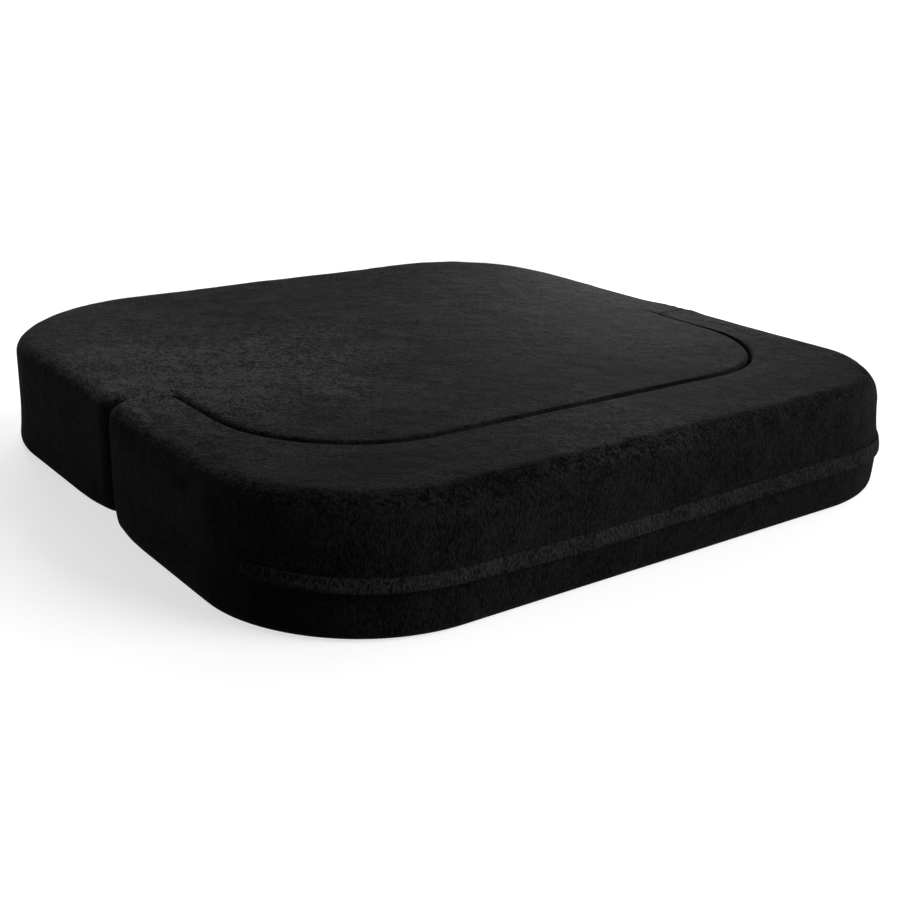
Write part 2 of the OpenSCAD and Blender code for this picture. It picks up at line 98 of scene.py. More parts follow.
# The placket: way along the ring's outside in metres, and the heights of its top and foot there in millimetres
PLACKET_HALF = RING_W / 2 - FRONT_R + FRONT_R * np.radians(72)
PLACKET_EDGES = [(-1.01, 138, 113), (-0.93, 136, 109), (-0.8, 133.5, 107.5), (-0.6, 133, 105), (-0.4, 130, 98.5),
                 (-0.2, 128, 94.5), (0.1, 131.5, 96.5), (0.4, 137, 101.5), (0.58, 139, 103), (0.65, 138, 101.5),
                 (0.72, 134, 100), (0.8, 131.5, 98.5), (1.01, 131, 98)]
# Its section: out in millimetres, shares of thickness and stand added to that, and millimetres above the foot or top
PLACKET_T = 2.4 * MM
PLACKET_SECTION = [(-1, 0, 0, "top", -0.5), (0.3, 0, 0, "top", 0.4), (0.3, 0.9, 0.1, "top", -1.5),
                   (0.3, 1, 0.22, "top", -5), (0.3, 1, 0.45, "top", -9), (0.3, 1, 0.75, "top", -16),
                   (0.3, 1, 1, "foot", 9), (0.3, 1, 1.02, "foot", 3), (0.3, 0.8, 1, "foot", 0.7),
                   (0.3, 0.45, 1, "foot", 0), (0.3, 0.1, 0.97, "foot", 0.8), (0.3, 0, 0.95, "foot", 3),
                   (0.3, 0, 0.95, "foot", 9), (0.3, 0, 0.8, "top", -15), (0.3, 0, 0.3, "top", -9),
                   (0, 0, 0, "top", -5)]

# Spacing of the points of the sewn skins, and how far liner and foam lie inside
STEP = 15 * MM
HEM_STEP = 0.7 * MM
SEAM_DEPTH = 3 * MM
PLUSH_T = 3.2 * MM
LINER_IN = 11 * MM
FOAM_IN = 13 * MM
WEB_HALF = 34 * MM

# How far the tight skin may draw in where its edges are pulled round, and the cloth's settings
SINK = 1.5 * MM
CLOTH_FRAMES = 20
CLOTH = dict(quality=4, mass=0.3, tension_stiffness=25, compression_stiffness=25, shear_stiffness=10,
             bending_stiffness=2, use_pressure=True, uniform_pressure_force=4, vertex_group_mass="held")
# Slack of the cloth over the foam: height, length and seed of its waves
SLACK = [(0.9 * MM, 0.55, 3), (0.6 * MM, 0.22, 4), (0.25 * MM, 0.09, 5)]

# Darkest and lightest base colour of the plush where it lies level, where it stands, below and on the placket
# Level and upright colours are lit and shaded copies of one plush: painted light and shade for how light falls on the
# top and on the sides
PLUSH_LEVEL_PAINTED_LIGHT = ((0.0003, 0.0003, 0.0003), (0.0258, 0.0258, 0.0266))
PLUSH_UPRIGHT_PAINTED_LIGHT = ((0.0003, 0.0003, 0.0003), (0.0335, 0.0335, 0.0345))
# The colour below is painted shade: the ring's skirt is darkened as if shaded by the placket above it
PLUSH_LOW_PAINTED_SHADE = ((0.0002, 0.0002, 0.0002), (0.0270, 0.0270, 0.0278))
# The placket's colour is lighter partly because its pile runs the other way and partly as painted light that the tilted
# band catches
PLUSH_BAND_PAINTED_LIGHT = ((0.0006, 0.0006, 0.0006), (0.0660, 0.0660, 0.0670))
PLUSH_SHEEN = 0.022
SHEEN_ROUGHNESS = 0.3
TUFT = 4.6 * MM
PATCH = 0.22
# Pools of painted light and shade on top: middle, reach in metres and strength
PAINTED_LIGHT_POOLS = [((-0.64, 0.0, 0.28), 0.6, 3.2), ((-0.1, 0.1, 0.28), 0.4, 0.5), ((0.5, 0.3, 0.28), 0.5, 0.6),
           ((0.0, -0.86, 0.28), 0.42, 0.7), ((0.15, -0.48, 0.28), 0.45, -0.55),
           ((-0.62, -0.66, 0.28), 0.35, -0.65)]
# Height from which the plush counts as level and gets the painted light and shade of level faces
PAINTED_TOP_LIGHT_FROM = 185 * MM
DOT_PITCH = 16 * MM

# The camera's azimuth, elevation and roll, place, and focal length and frame in pixels
CAMERA_TURN = (-37.15, 19.43, 1.6)
CAMERA_PLACE = (-1.953, -2.692, 1.159)
FOCAL_PX, FRAME_PX, SENSOR = 1316.2, 900, 36
FLOOR_HALF = 400
FLOOR_BOUNCE = 0.2
FLOOR_SHADE = 0.45
FLOOR_GLOW = 0.66
SKY = 0.04
# Name, strength, width in degrees, azimuth from +X and elevation
SUNS = [("front_lamp", 4.2, 40, -48, 25), ("right_lamp", 1.3, 40, 0, 25), ("left_lamp", 0.65, 30, 158, 8),
        ("rear_lamp", 0.8, 50, 95, 10)]
# Name, watts, size, place and aim
PANELS = [("right_panel", 37, 0.7, (1.9, 1.1, 0.72), (0.7, 0.3, 0.286)),
          ("left_panel", 10, 0.5, (-0.5, 1.35, 0.9), (-0.5, 0.1, 0.286))]


# ---------- camera ----------
def linked(name, data):
    """An object with the data, in the scene."""
    made = bpy.data.objects.new(name, data)
    bpy.context.scene.collection.objects.link(made)
    return made


def turned(right, up, back, place):
    """The matrix with the three axes at the place."""
    turn = np.eye(4)
    turn[:3] = np.column_stack([right, up, back, place])
    return Matrix(turn.tolist())


def add_camera():
    """The camera turns by azimuth, elevation and roll about its own place."""
    azimuth, elevation, roll = np.radians(CAMERA_TURN)
    ahead = np.cos(elevation)
    back = np.array([np.sin(azimuth) * ahead, -np.cos(azimuth) * ahead, np.sin(elevation)])
    across = np.array([np.cos(azimuth), np.sin(azimuth), 0])
    up = np.cross(back, across)
    data = bpy.data.cameras.new("camera")
    data.lens, data.sensor_width, data.clip_end = FOCAL_PX / FRAME_PX * SENSOR, SENSOR, 1000
    camera = linked("camera", data)
    camera.matrix_world = turned(np.cos(roll) * across + np.sin(roll) * up,
                                 -np.sin(roll) * across + np.cos(roll) * up, back, CAMERA_PLACE)
    bpy.context.scene.camera = camera


# ---------- outlines ----------
def smoothstep(t):
    """0 below 0, 1 above 1, and 3 t^2 - 2 t^3 between."""
    t = np.clip(t, 0, 1)
    return t * t * (3 - 2 * t)


def straight(a, b, first, last):
    """Evenly spaced points from a to b without b: (1 - t) a + t b, with the values passing from first to last."""
    count = max(1, round(float(np.hypot(*np.subtract(b, a))) / STEP))
    t = (np.arange(count) / count)[:, None]
    return (1 - t) * np.array([*a, *first]) + t * np.array([*b, *last])


def corner(centre, radius, a0, a1, first, last):
    """Points of an arc without its last one: centre + radius (cos a, sin a), with the values passing evenly."""
    turn = np.radians(a1 - a0)
    count = max(6, round(abs(turn) * radius / STEP))
    t = (np.arange(count) / count)[:, None]
    a = np.radians(a0) + turn * t
    return np.hstack([np.array(centre) + radius * np.hstack([np.cos(a), np.sin(a)]),
                      (1 - t) * np.array(first) + t * np.array(last)])


def closed(stretches):
    """Half an outline and its mirror image as one loop, counterclockwise. Columns: x, y, rounding width and
    height, room to swell, outward normal x and y, and the way along from the last middle point."""
    half = np.vstack(stretches)
    loop = np.vstack([half, half[1:-1][::-1] * np.array([-1, 1, 1, 1, 1])])
    x, y = loop[:, 0], loop[:, 1]
    if (x * np.roll(y, -1) - y * np.roll(x, -1)).sum() < 0:
        loop = np.roll(loop[::-1], 1, axis=0)
    step = np.roll(loop[:, :2], -1, axis=0) - loop[:, :2]
    length = np.linalg.norm(step, axis=1)
    unit = step / length[:, None]
    before = np.roll(unit, 1, axis=0)
    normal = np.stack([unit[:, 1] + before[:, 1], -unit[:, 0] - before[:, 0]], 1)
    normal /= (1 + (unit * before).sum(1))[:, None]
    travelled = np.concatenate([[0], np.cumsum(length)[:-1]])
    far = travelled[np.argmin(abs(loop[:, 0]) + abs(loop[:, 1] - half[-1, 1]))]
    total = length.sum()
    way = (travelled - far + total / 2) % total - total / 2
    return np.hstack([loop, normal, way[:, None]])


def block_outline(way, half, x, y, inner_r, nook_r, beside, far, far_r):
    """From the middle of the seam's front at y round its corner to x, along the fold to the notch at half, and round
    the outer corner to the middle of the far side. way is 1 for the slab and -1 for the ring."""
    end = FOLD_Y + way * HALF_FOLD
    notch_y = end + way * NOTCH_R
    open_y, far_y = notch_y + way * FADE, far - way * far_r
    return closed([
        straight((0, y), (x - inner_r, y), SEAM, SEAM),
        corner((x - inner_r, y + inner_r), inner_r, -90, 0, SEAM, beside),
        straight((x, y + inner_r), (x, end - nook_r), beside, beside),
        corner((x + nook_r, end - nook_r), nook_r, 180, 90, beside, FOLD),
        straight((x + nook_r, end), (half - NOTCH_R, end), FOLD, FOLD),
        corner((half - NOTCH_R, notch_y), NOTCH_R, -90 * way, 0, FOLD, NOTCH),
        straight((half, notch_y), (half, open_y), NOTCH, OPEN),
        straight((half, open_y), (half, far_y), OPEN, OPEN),
        corner((half - far_r, far_y), far_r, 0, 90 * way, OPEN, OPEN),
        straight((half - far_r, far), (0, far), OPEN, OPEN),
        np.array([[0, far, *OPEN]]),
    ])


def rear_right(line):
    """The share of the rear right corner: (n . d)^8 with n the outward normal and d the diagonal."""
    return np.clip((line[:, 5] + line[:, 6]) / np.sqrt(2), 0, 1) ** 8 * (line[:, 0] > 0.4) * (line[:, 1] > 0.3)


def tucked(line, z):
    """How far the side is drawn in at height z: beside the notches at the floor, and the right arm's outer side towards
    the fold. The left side's foot, the rear right corner on top and the front right corner up to the placket stand
    out instead, by their distance times (n . d)^p with n the outward normal."""
    x, y, out = line[:, 0], line[:, 1], line[:, 5]
    off = np.hypot(abs(x) - SLAB_W / 2, y - FOLD_Y)
    low = NOTCH_TUCK * smoothstep(1 - off / NOTCH_REACH) * np.clip(1 - z / NOTCH_TOP, 0, 1) ** 2
    leaning = (x > 0.8) & (y < FOLD_Y)
    low += LEAN * leaning * np.clip(out, 0, 1) * smoothstep(1 - (FOLD_Y - y) / LEAN_REACH)
    left = (x < -0.5) * np.clip(-out, 0, 1) ** 5 * smoothstep(off / LEFT_REACH) * np.clip(1 - z / LEFT_TOP, 0, 1) ** 1.5
    rear = rear_right(line) * smoothstep((z - REAR_FULL_FROM) / (REAR_FULL_TO - REAR_FULL_FROM))
    front = np.clip(FRONT_WAY[0] * out + FRONT_WAY[1] * line[:, 6], 0, 1) ** 8 * (y < -0.4)
    front *= smoothstep((x - RING_W / 2 + FRONT_R) / 0.2)
    front *= np.interp(z, [0, 60 * MM, 105 * MM, SEWN_Z, 210 * MM], [0.35, 1, 1, 0.62, 0])
    return low - LEFT_FOOT * left - REAR_FULL * rear - FRONT_FULL * front


def tightened(line):
    """The outer edges get roundings no larger than those of their sides, and the edge along the right arm's seam is
    drawn tight."""
    x, y, out = line[:, 0], line[:, 1], line[:, 5]
    right = np.clip(out, 0, 1) ** 4 * ((x > TONGUE_X + 0.05) | ((x > 0.4) & (y > 0)))
    left = np.clip(-out, 0, 1) ** 6 * ((x < -INNER_X - 5 * MM) | ((x < -0.4) & (y > 0)))
    for share, edge in ((right, RIGHT_EDGE), (left, LEFT_EDGE), (rear_right(line), REAR_RIGHT_EDGE)):
        line[:, 2:4] -= share[:, None] * np.maximum(line[:, 2:4] - edge, 0)
    beside = (x > 0.6) & (x < INNER_X + 5 * MM) & (y < FOLD_Y)
    line[:, 2:4] *= np.where(beside, np.interp(y, *SEAM_TIGHT), 1)[:, None]
    return line


def level(line, depth, z):
    """The outline moved into the block by depth, at height z."""
    z = np.broadcast_to(z, len(line))
    return np.column_stack([line[:, :2] - line[:, 5:7] * (depth + tucked(line, z))[:, None], z])


def edge_ring(line, depth, turn):
    """A ring on the rounded top edge: in by w (1 - cos turn) and down by h (1 - sin turn)."""
    w, h = line[:, 2], line[:, 3]
    return level(line, depth + (w - depth) * (1 - np.cos(turn)), TOP_Z - depth - (h - depth) * (1 - np.sin(turn)))


def edge_rings(line, depth, count):
    """Rings over the whole rounded top edge, from the side up."""
    return [edge_ring(line, depth, np.pi / 2 * k / count) for k in range(count + 1)]


def foot_rings(line, depth, count):
    """Rings over the rounded foot, from the underside up to the side: in by r (1 - cos a) and up by r (1 - sin a)."""
    inner = FOOT_R - depth
    turns = [np.pi / 2 * (1 - k / count) for k in range(count + 1)]
    return [level(line, depth + inner * (1 - np.cos(a)), HEM_Z + depth + inner * (1 - np.sin(a))) for a in turns]


def stations(line, low, high, spacing, z):
    """Evenly spaced places along the outline at height z, by the way from its far middle: x, y, normal x and y, and
    the way."""
    line = np.hstack([level(line, 0, z)[:, :2], line[:, 2:]])
    order = np.argsort(line[:, 7])
    at = np.linspace(low, high, max(1, round((high - low) / spacing)) + 1)
    return np.column_stack([*(np.interp(at, line[order, 7], line[order, c]) for c in (0, 1, 5, 6)), at])


# ---------- meshes ----------
def make_mesh(name, points, faces, smooth=True):
    """A mesh object at the origin from an array of points and a list of face arrays."""
    mesh = bpy.data.meshes.new(name)
    mesh.from_pydata(np.asarray(points, float).tolist(), [], [f for part in faces for f in np.asarray(part).tolist()])
    mesh.polygons.foreach_set("use_smooth", np.full(len(mesh.polygons), smooth))
    mesh.update()
    return linked(name, mesh)


def picked(points, faces):
    """The faces with only the points that they use."""
    used = np.unique(np.concatenate([f.ravel() for f in faces]))
    index = np.zeros(len(points), int)
    index[used] = np.arange(len(used))
    return points[used], [index[f] for f in faces]


def bands(count, n):
    """Quads between rings of n points each, facing outwards where ring numbers rise with z."""
    k, i = np.arange(count - 1)[:, None] * n, np.arange(n)[None]
    j = (i + 1) % n
    return np.stack([k + i, k + j, k + n + j, k + n + i], -1).reshape(-1, 4)


def tube(count, n):
    """The faces of a closed tube over rings of n points each."""
    return [bands(count, n), np.arange(n)[None, ::-1], np.arange(n)[None] + (count - 1) * n]


def raised(flat, z):
    """Flat points at one height."""
    return np.column_stack([flat, np.full(len(flat), z)])


def arc(across, up, angles):
    """Points (across cos a, up sin a)."""
    return np.stack([across * np.cos(angles), up * np.sin(angles)], 1)


def full_turn(count):
    """Angles of a whole turn."""
    return np.linspace(0, 2 * np.pi, count, endpoint=False)


def inside(points, loop):
    """True where a ray from the point crosses the loop an odd number of times."""
    a, b = loop, np.roll(loop, -1, axis=0)
    px, py = points[:, :1], points[:, 1:2]
    spans = (a[:, 1] > py) != (b[:, 1] > py)
    with np.errstate(divide="ignore", invalid="ignore"):
        x = a[:, 0] + (py - a[:, 1]) * (b[:, 0] - a[:, 0]) / (b[:, 1] - a[:, 1])
    return (spans & (px < x)).sum(1) % 2 == 1


def nearest(points, loop):
    """For each point the distance to the nearest point of the loop, and which one it is."""
    gap = np.linalg.norm(points[:, None, :2] - loop[None, :, :2], axis=2)
    index = gap.argmin(1)
    return gap[np.arange(len(points)), index], index


def filled(loop, spacing):
    """Extra points on a triangular lattice inside the loop, and triangles over the loop's and the extra points."""
    low, high = loop.min(0), loop.max(0)
    row = spacing * np.sqrt(3) / 2
    ys = np.arange(low[1] + row, high[1], row)
    xs = np.arange(-np.ceil(-low[0] / spacing) * spacing, high[0] + spacing, spacing)
    grid = np.stack(np.meshgrid(xs, ys), -1)
    grid[1::2, :, 0] += spacing / 2
    grid = grid.reshape(-1, 2)
    grid = grid[inside(grid, loop)]
    grid = grid[nearest(grid, loop)[0] > 0.62 * spacing]
    both = np.vstack([loop, grid])
    points, _, triangles, *_ = delaunay_2d_cdt(both.tolist(), [], [list(range(len(loop)))], 1, 1e-7)
    if len(points) != len(both):
        raise ValueError("the outline crosses itself")
    triangles = np.array(triangles)
    a, b, c = (both[triangles[:, k]] for k in range(3))
    clockwise = (b[:, 0] - a[:, 0]) * (c[:, 1] - a[:, 1]) - (b[:, 1] - a[:, 1]) * (c[:, 0] - a[:, 0]) < 0
    triangles[clockwise] = triangles[clockwise][:, ::-1]
    return grid, triangles


def filled_stack(rings, spacing=3 * STEP):
    """A closed form over rings, filled over the highest, at the spacing, and under the lowest: the points of the
    rings, over and under, and the faces of the sides, over and under."""
    n, first = len(rings[0]), len(rings) * len(rings[0])
    over, over_faces = filled(rings[-1][:, :2], spacing)
    under, under_faces = filled(rings[0][:, :2], 3 * STEP)
    points = np.vstack([*rings, raised(over, rings[-1][0, 2]), raised(under, rings[0][0, 2])])
    under_faces = np.where(under_faces < n, under_faces, under_faces - n + first + len(over))[:, ::-1]
    return points, [bands(len(rings), n), over_faces + first - n, under_faces]


def fans(points, faces):
    """The fan triangles of each array of faces: the numbers of their points, and the points."""
    for part in map(np.asarray, faces):
        for k in range(1, part.shape[1] - 1):
            index = part[:, [0, k, k + 1]].T
            yield index, points[index]


def skin_normals(points, faces):
    """Each point's normal, as the sum of the normals of its faces weighted by area."""
    total = np.zeros_like(points)
    for index, (a, b, c) in fans(points, faces):
        area = np.cross(b - a, c - a)
        for corners in index:
            np.add.at(total, corners, area)
    return total / np.maximum(np.linalg.norm(total, axis=1), 1e-12)[:, None]


def skin_area(points, faces):
    """The sum of the faces' areas."""
    return float(sum(np.linalg.norm(np.cross(b - a, c - a), axis=1).sum() / 2 for _, (a, b, c) in fans(points, faces)))


def facing_out(points, faces):
    """The faces, turned round if the closed form's signed volume, the sum of a . (b x c) / 6, is below nothing."""
    volume = sum((a * np.cross(b, c)).sum() for _, (a, b, c) in fans(points, faces))
    return faces if volume > 0 else [np.asarray(part)[:, ::-1] for part in faces]


def beside(base, normal, profile):
    """Points of (out, z): base + normal times out, at height z."""
    flat = base + normal * profile[..., :1]
    return np.concatenate([flat, np.broadcast_to(profile[..., 1:], (*flat.shape[:-1], 1))], -1).reshape(-1, 3)


def carried(places, profile):
    """A closed profile of (out, z) points carried along the places and closed at both ends."""
    points = beside(places[:, None, :2], places[:, None, 2:4], profile)
    return points, facing_out(points, tube(len(places), profile.shape[-2]))


def joined(parts):
    """Several (points, faces) as one."""
    first, points, faces = 0, [], []
    for some, their in parts:
        points.append(some)
        faces += [np.asarray(f) + first for f in facing_out(some, their)]
        first += len(some)
    return np.vstack(points), faces


def prism(outline, low, high):
    """A plane outline of (a, b) points with a thickness from low to high: points (a, b, c) and faces."""
    return np.vstack([raised(outline, low), raised(outline, high)]), tube(2, len(outline))


def softened(piece):
    """One subdivision."""
    rounding = piece.modifiers.new("rounding", "SUBSURF")
    rounding.levels = rounding.render_levels = 1
    return piece


def thickened(piece, thickness, offset=-1):
    """The skin gets its thickness, inwards unless told otherwise."""
    wall = piece.modifiers.new("wall", "SOLIDIFY")
    wall.thickness, wall.offset = thickness, offset
    return piece


def bevelled(piece, width):
    """Sharp edges get a small round."""
    bevel = piece.modifiers.new("edges", "BEVEL")
    bevel.width, bevel.segments = width, 2
    bevel.limit_method, bevel.angle_limit = "ANGLE", np.radians(40)
    return piece


def waves(points, length, seed, count=14):
    """A sum of sine waves in fixed directions, of about the given length, between about -1 and 1."""
    rng = np.random.default_rng(seed)
    way = rng.normal(size=(count, 3))
    way *= (2 * np.pi / (length * rng.uniform(0.7, 1.6, count)) / np.linalg.norm(way, axis=1))[:, None]
    return np.sin(points @ way.T + rng.uniform(0, 2 * np.pi, count)).sum(1) / np.sqrt(count)


# ---------- cushions ----------
def swollen(name, points, faces, held):
    """Where the points lie after the closed skin is blown up from inside as cloth, with the held points pinned."""
    scene = bpy.context.scene
    skin = make_mesh(name, points, faces)
    skin.vertex_groups.new(name="held").add(np.flatnonzero(held).tolist(), 1, "REPLACE")
    cloth = skin.modifiers.new("cloth", "CLOTH")
    cloth.point_cache.frame_start, cloth.point_cache.frame_end = 1, CLOTH_FRAMES
    for label, value in CLOTH.items():
        setattr(cloth.settings, label, value)
    cloth.settings.effector_weights.gravity = 0
    cloth.collision_settings.use_collision = False
    for number in range(1, CLOTH_FRAMES + 1):
        scene.frame_set(number)
    result = skin.evaluated_get(bpy.context.evaluated_depsgraph_get())
    moved = np.empty(len(points) * 3, np.float32)
    result.data.vertices.foreach_get("co", moved)
    mesh = skin.data
    bpy.data.objects.remove(skin)
    bpy.data.meshes.remove(mesh)
    scene.frame_set(1)
    return moved.reshape(-1, 3).astype(float)


def cushion(name, line, zip_z, zip_half, crown, sewn):
    """The skin of one block, from the underside over the foot, the sides, the zip line and the rounded edge to the
    top, drawn in at the heights where a placket is sewn on. Returns the points and the faces of top and skirt."""
    n = len(line)
    room, way = line[:, 4], abs(line[:, 7])
    back = np.where(way <= zip_half + 1e-6, SLOT_HALF, 0.1 * MM)
    low, high = zip_z - back, zip_z + back
    at = lambda z, depth=0: level(line, depth, z)
    foot_top, wall_top = HEM_Z + FOOT_R, TOP_Z - line[:, 3]
    rings = foot_rings(line, 0, 4) + [at(foot_top + (low - foot_top) * share) for share in (0.33, 0.66, 0.88)]
    rings += [at(low - HEM_STEP), at(low), at(high), at(high + HEM_STEP)]
    split = len(rings) - 2
    if sewn is not None:
        drawn_in = SEAM_DEPTH * smoothstep((PLACKET_HALF + 10 * MM - way) / (60 * MM))
        high = sewn + 5.5 * MM
        rings += [at(sewn - 0.5 * MM, 0.9 * drawn_in), at(sewn + 1.5 * MM, drawn_in), at(high)]
    rings += [at(high + (wall_top - high) * share) for share in (0.12, 0.25, 0.4, 0.55, 0.7, 0.85)]
    rings += edge_rings(line, 0, 7)
    count, first_over = len(rings), len(rings) * n
    points, (quads, over_faces, under_faces) = filled_stack(rings, STEP)
    skirt, gap, top = np.split(quads, [n * (split - 1), n * split])
    faces = [skirt, gap, top, over_faces, under_faces]
    z = points[:, 2]
    first_under = first_over + (z[first_over:] > zip_z).sum()

    # Room to swell: full in the middle of each face, and little at the zip, the foot, the seam and the fold
    space, zipped = np.zeros((2, len(points)))
    space[:first_over] = np.tile(room, count)
    off, index = nearest(points[first_over:first_under], rings[-1])
    space[first_over:first_under] = room[index] + (OPEN_ROOM - room[index]) * smoothstep(off / 0.25)
    zipped[:first_over] = np.tile(smoothstep((zip_half + 0.2 - way) / 0.2), count)
    calm = 1 - (0.3 + 0.6 * zipped) * np.exp(-((z - zip_z) / (24 * MM)) ** 2)
    calm[first_over:] = 1
    space *= calm * smoothstep(z / (60 * MM))
    normals = skin_normals(points, faces)
    inner = points - normals * (0.7 * space)[:, None]
    held = np.zeros(len(points), bool)
    held[:n] = held[first_under:] = True
    travel = swollen(name, inner, faces, held) - inner
    size = np.linalg.norm(travel, axis=1)
    limit = 1.5 * space + 0.01 * MM
    travel *= (limit * np.tanh(size / limit) / np.maximum(size, 1e-9))[:, None]
    sunk = np.minimum((travel * normals).sum(1) + SINK, 0)
    points = inner + (travel - normals * sunk[:, None])

    slack = sum(height * waves(points, length, seed) for height, length, seed in SLACK)
    points = points + normals * (slack * np.minimum(1, space / (2.5 * MM)))[:, None]

    # The top stays under the level at which the ring folds onto the slab, apart from the seat's crown:
    # z = ceiling - soft log(1 + exp(gap / soft)), with gap the height left below the ceiling
    swell = crown * (1 - smoothstep(np.hypot(points[:, 0] / 0.62, (points[:, 1] - CROWN_Y) / 0.5)))
    ceiling = TOP_Z - 0.9 * MM + 0.7 * MM * smoothstep((space - 1 * MM) / (4 * MM)) + swell
    gap_above = ceiling - (points[:, 2] + swell * (normals[:, 2] > 0.9))
    soft = 1.2 * MM
    pressed = ceiling - soft * np.log1p(np.exp(np.clip(gap_above / soft, -30, 30)))
    points[:, 2] = np.where(points[:, 2] > TOP_Z - 30 * MM, pressed, points[:, 2])
    return points, [top, over_faces], [skirt]


# ---------- materials ----------
def placed(tree, kind, inputs, **settings):
    """A shader node with its settings made, and its inputs linked or set."""
    made = tree.nodes.new("ShaderNode" + kind)
    for key, value in settings.items():
        setattr(made, key, value)
    for key, value in inputs.items():
        if isinstance(value, Wire):
            tree.links.new(value.socket, made.inputs[key])
        else:
            made.inputs[key].default_value = value
    return made


class Wire:
    """A value in a node tree. Sums, products and the methods below add the nodes that work on it."""

    def __init__(self, socket):
        self.socket, self.tree = socket, socket.id_data

    def node(self, kind, inputs, output=0, **settings):
        """An output of a new node in the same tree."""
        return Wire(placed(self.tree, kind, inputs, **settings).outputs[output])

    def math(self, operation, *others):
        return self.node("Math", dict(enumerate([self, *others])), operation=operation)

    __add__ = lambda self, other: self.math("ADD", other)
    __sub__ = lambda self, other: self.math("SUBTRACT", other)
    __mul__ = lambda self, other: self.math("MULTIPLY", other)
    __rtruediv__ = lambda self, number: self.node("Math", {0: number, 1: self}, operation="DIVIDE")

    def ranged(self, *ends, **settings):
        """The value mapped from the first two ends to the other two, without passing them."""
        return self.node("MapRange", dict(enumerate([self, *ends])), **settings)

    def between(self, low, high):
        """low where the value is 0, and high where it is 1."""
        return self.node("Mix", {0: self, 2: low, 3: high}, data_type="FLOAT")

    def colour(self, *ends):
        """The colour passes from the first to the last with the value."""
        first, last = ((*end, 1) if isinstance(end, tuple) else end for end in ends)
        return self.node("Mix", {0: self, 6: first, 7: last}, 2, data_type="RGBA")

    def noise(self, scale, detail, roughness=0.5, distortion=0, output=0):
        inputs = {"Vector": self, "Scale": scale, "Detail": detail, "Roughness": roughness, "Distortion": distortion}
        return self.node("TexNoise", inputs, output)

    def cells(self, scale):
        return self.node("TexVoronoi", {"Vector": self, "Scale": scale}, feature="F1")

    def vector(self, operation, other, output=0):
        return self.node("VectorMath", {0: self, 1: other}, output, operation=operation)

    def part(self, axis):
        return self.node("SeparateXYZ", {0: self}, axis)

    def through(self, group, **inputs):
        """The outputs of a group for this place."""
        made = placed(self.tree, "Group", {"Vector": self, **inputs}, node_tree=group)
        return [Wire(socket) for socket in made.outputs]


def effect(name, inputs, outputs, build):
    """A shader node group with named inputs, vectors where no value is given, and named outputs."""
    tree = bpy.data.node_groups.new(name, "ShaderNodeTree")
    for label, value in inputs.items():
        kind = "NodeSocketVector" if value is None else "NodeSocketFloat"
        socket = tree.interface.new_socket(name=label, in_out="INPUT", socket_type=kind)
        if value is not None:
            socket.default_value = value
    for label in outputs:
        tree.interface.new_socket(name=label, in_out="OUTPUT", socket_type="NodeSocketFloat")
    start, end = tree.nodes.new("NodeGroupInput"), tree.nodes.new("NodeGroupOutput")
    for label, wire in zip(outputs, build(*(Wire(start.outputs[label]) for label in inputs))):
        tree.links.new(wire.socket, end.inputs[label])
    return tree


def build_patches(place, size):
    """Soft light and dark places where the pile has been stroked: two noises, one three times the size."""
    turns = 1 / size
    both = place.noise(turns, 2, 0.55, 0.5) * 0.5 + place.noise(turns * 3.1, 4, 0.6, 0.3) * 0.5
    return [both.ranged(0.39, 0.61, 0, 1)]


def build_painted_light(place):
    """Wide pools of painted light and shade: strength (1 - distance / reach), smoothed, round each middle, with
    wavering rims.
    """
    waver = place.noise(3.2, 3, output="Color").vector("SUBTRACT", (0.5, 0.5, 0.5))
    place = place.vector("ADD", waver.vector("MULTIPLY", (0.5, 0.5, 0)))
    first, *others = (
        place.vector("DISTANCE", middle, "Value").ranged(reach, 0, 0, strength, interpolation_type="SMOOTHSTEP")
        for middle, reach, strength in PAINTED_LIGHT_POOLS)
    return [sum(others, first)]


def build_pile(place, size, clumping):
    """Tufts of short pile: rounded cells of the given size, broken up by finer noise and gathered in clumps."""
    turns = 1 / size
    tufts = place.noise(turns, 5, 0.72, 0.4).ranged(0.3, 0.7, 0, 1) - place.cells(turns * 0.9) * 0.5
    clumps = place.noise(turns * 0.3, 2, 0.5, 0.6).ranged(0.35, 0.65, -1, 1)
    return [tufts, (tufts + clumps * clumping).ranged(0.08, 0.42, 0, 1)]


def build_weave(place, normal, pitch):
    """Crossing threads: sin(k x) sin(k y) on level cloth and sin(k (x + y)) sin(k z) on upright cloth."""
    turns = 2 * np.pi / pitch
    x, y, z = (place.part(axis) * turns for axis in range(3))
    upright = (x + y).math("SINE") * z.math("SINE")
    share = normal.part(2).math("ABSOLUTE").ranged(0.5, 0.8, 0, 1)
    return [share.between(upright, x.math("SINE") * y.math("SINE")).ranged(-1, 1, 0, 1)]


def build_wear(place, size):
    """Scuffs and dust: noise of the given size, strongly distorted."""
    return [place.noise(1 / size, 6, 0.7, 1.2).ranged(0.4, 0.7, 0, 1)]


PATCHES = effect("nap_patches", {"Vector": None, "Size": 0.1}, ["Patches"], build_patches)
# Pools of painted light and shade for the top
PAINTED_LIGHT_GROUP = effect("painted_light_pools", {"Vector": None}, ["Strokes"], build_painted_light)
PILE = effect("pile_tufts", {"Vector": None, "Size": 0.004, "Clumping": 0.1}, ["Height", "Shade"], build_pile)
WEAVE = effect("woven_threads", {"Vector": None, "Normal": None, "Pitch": 0.001}, ["Height"], build_weave)
WEAR = effect("wear", {"Vector": None, "Size": 0.01}, ["Wear"], build_wear)


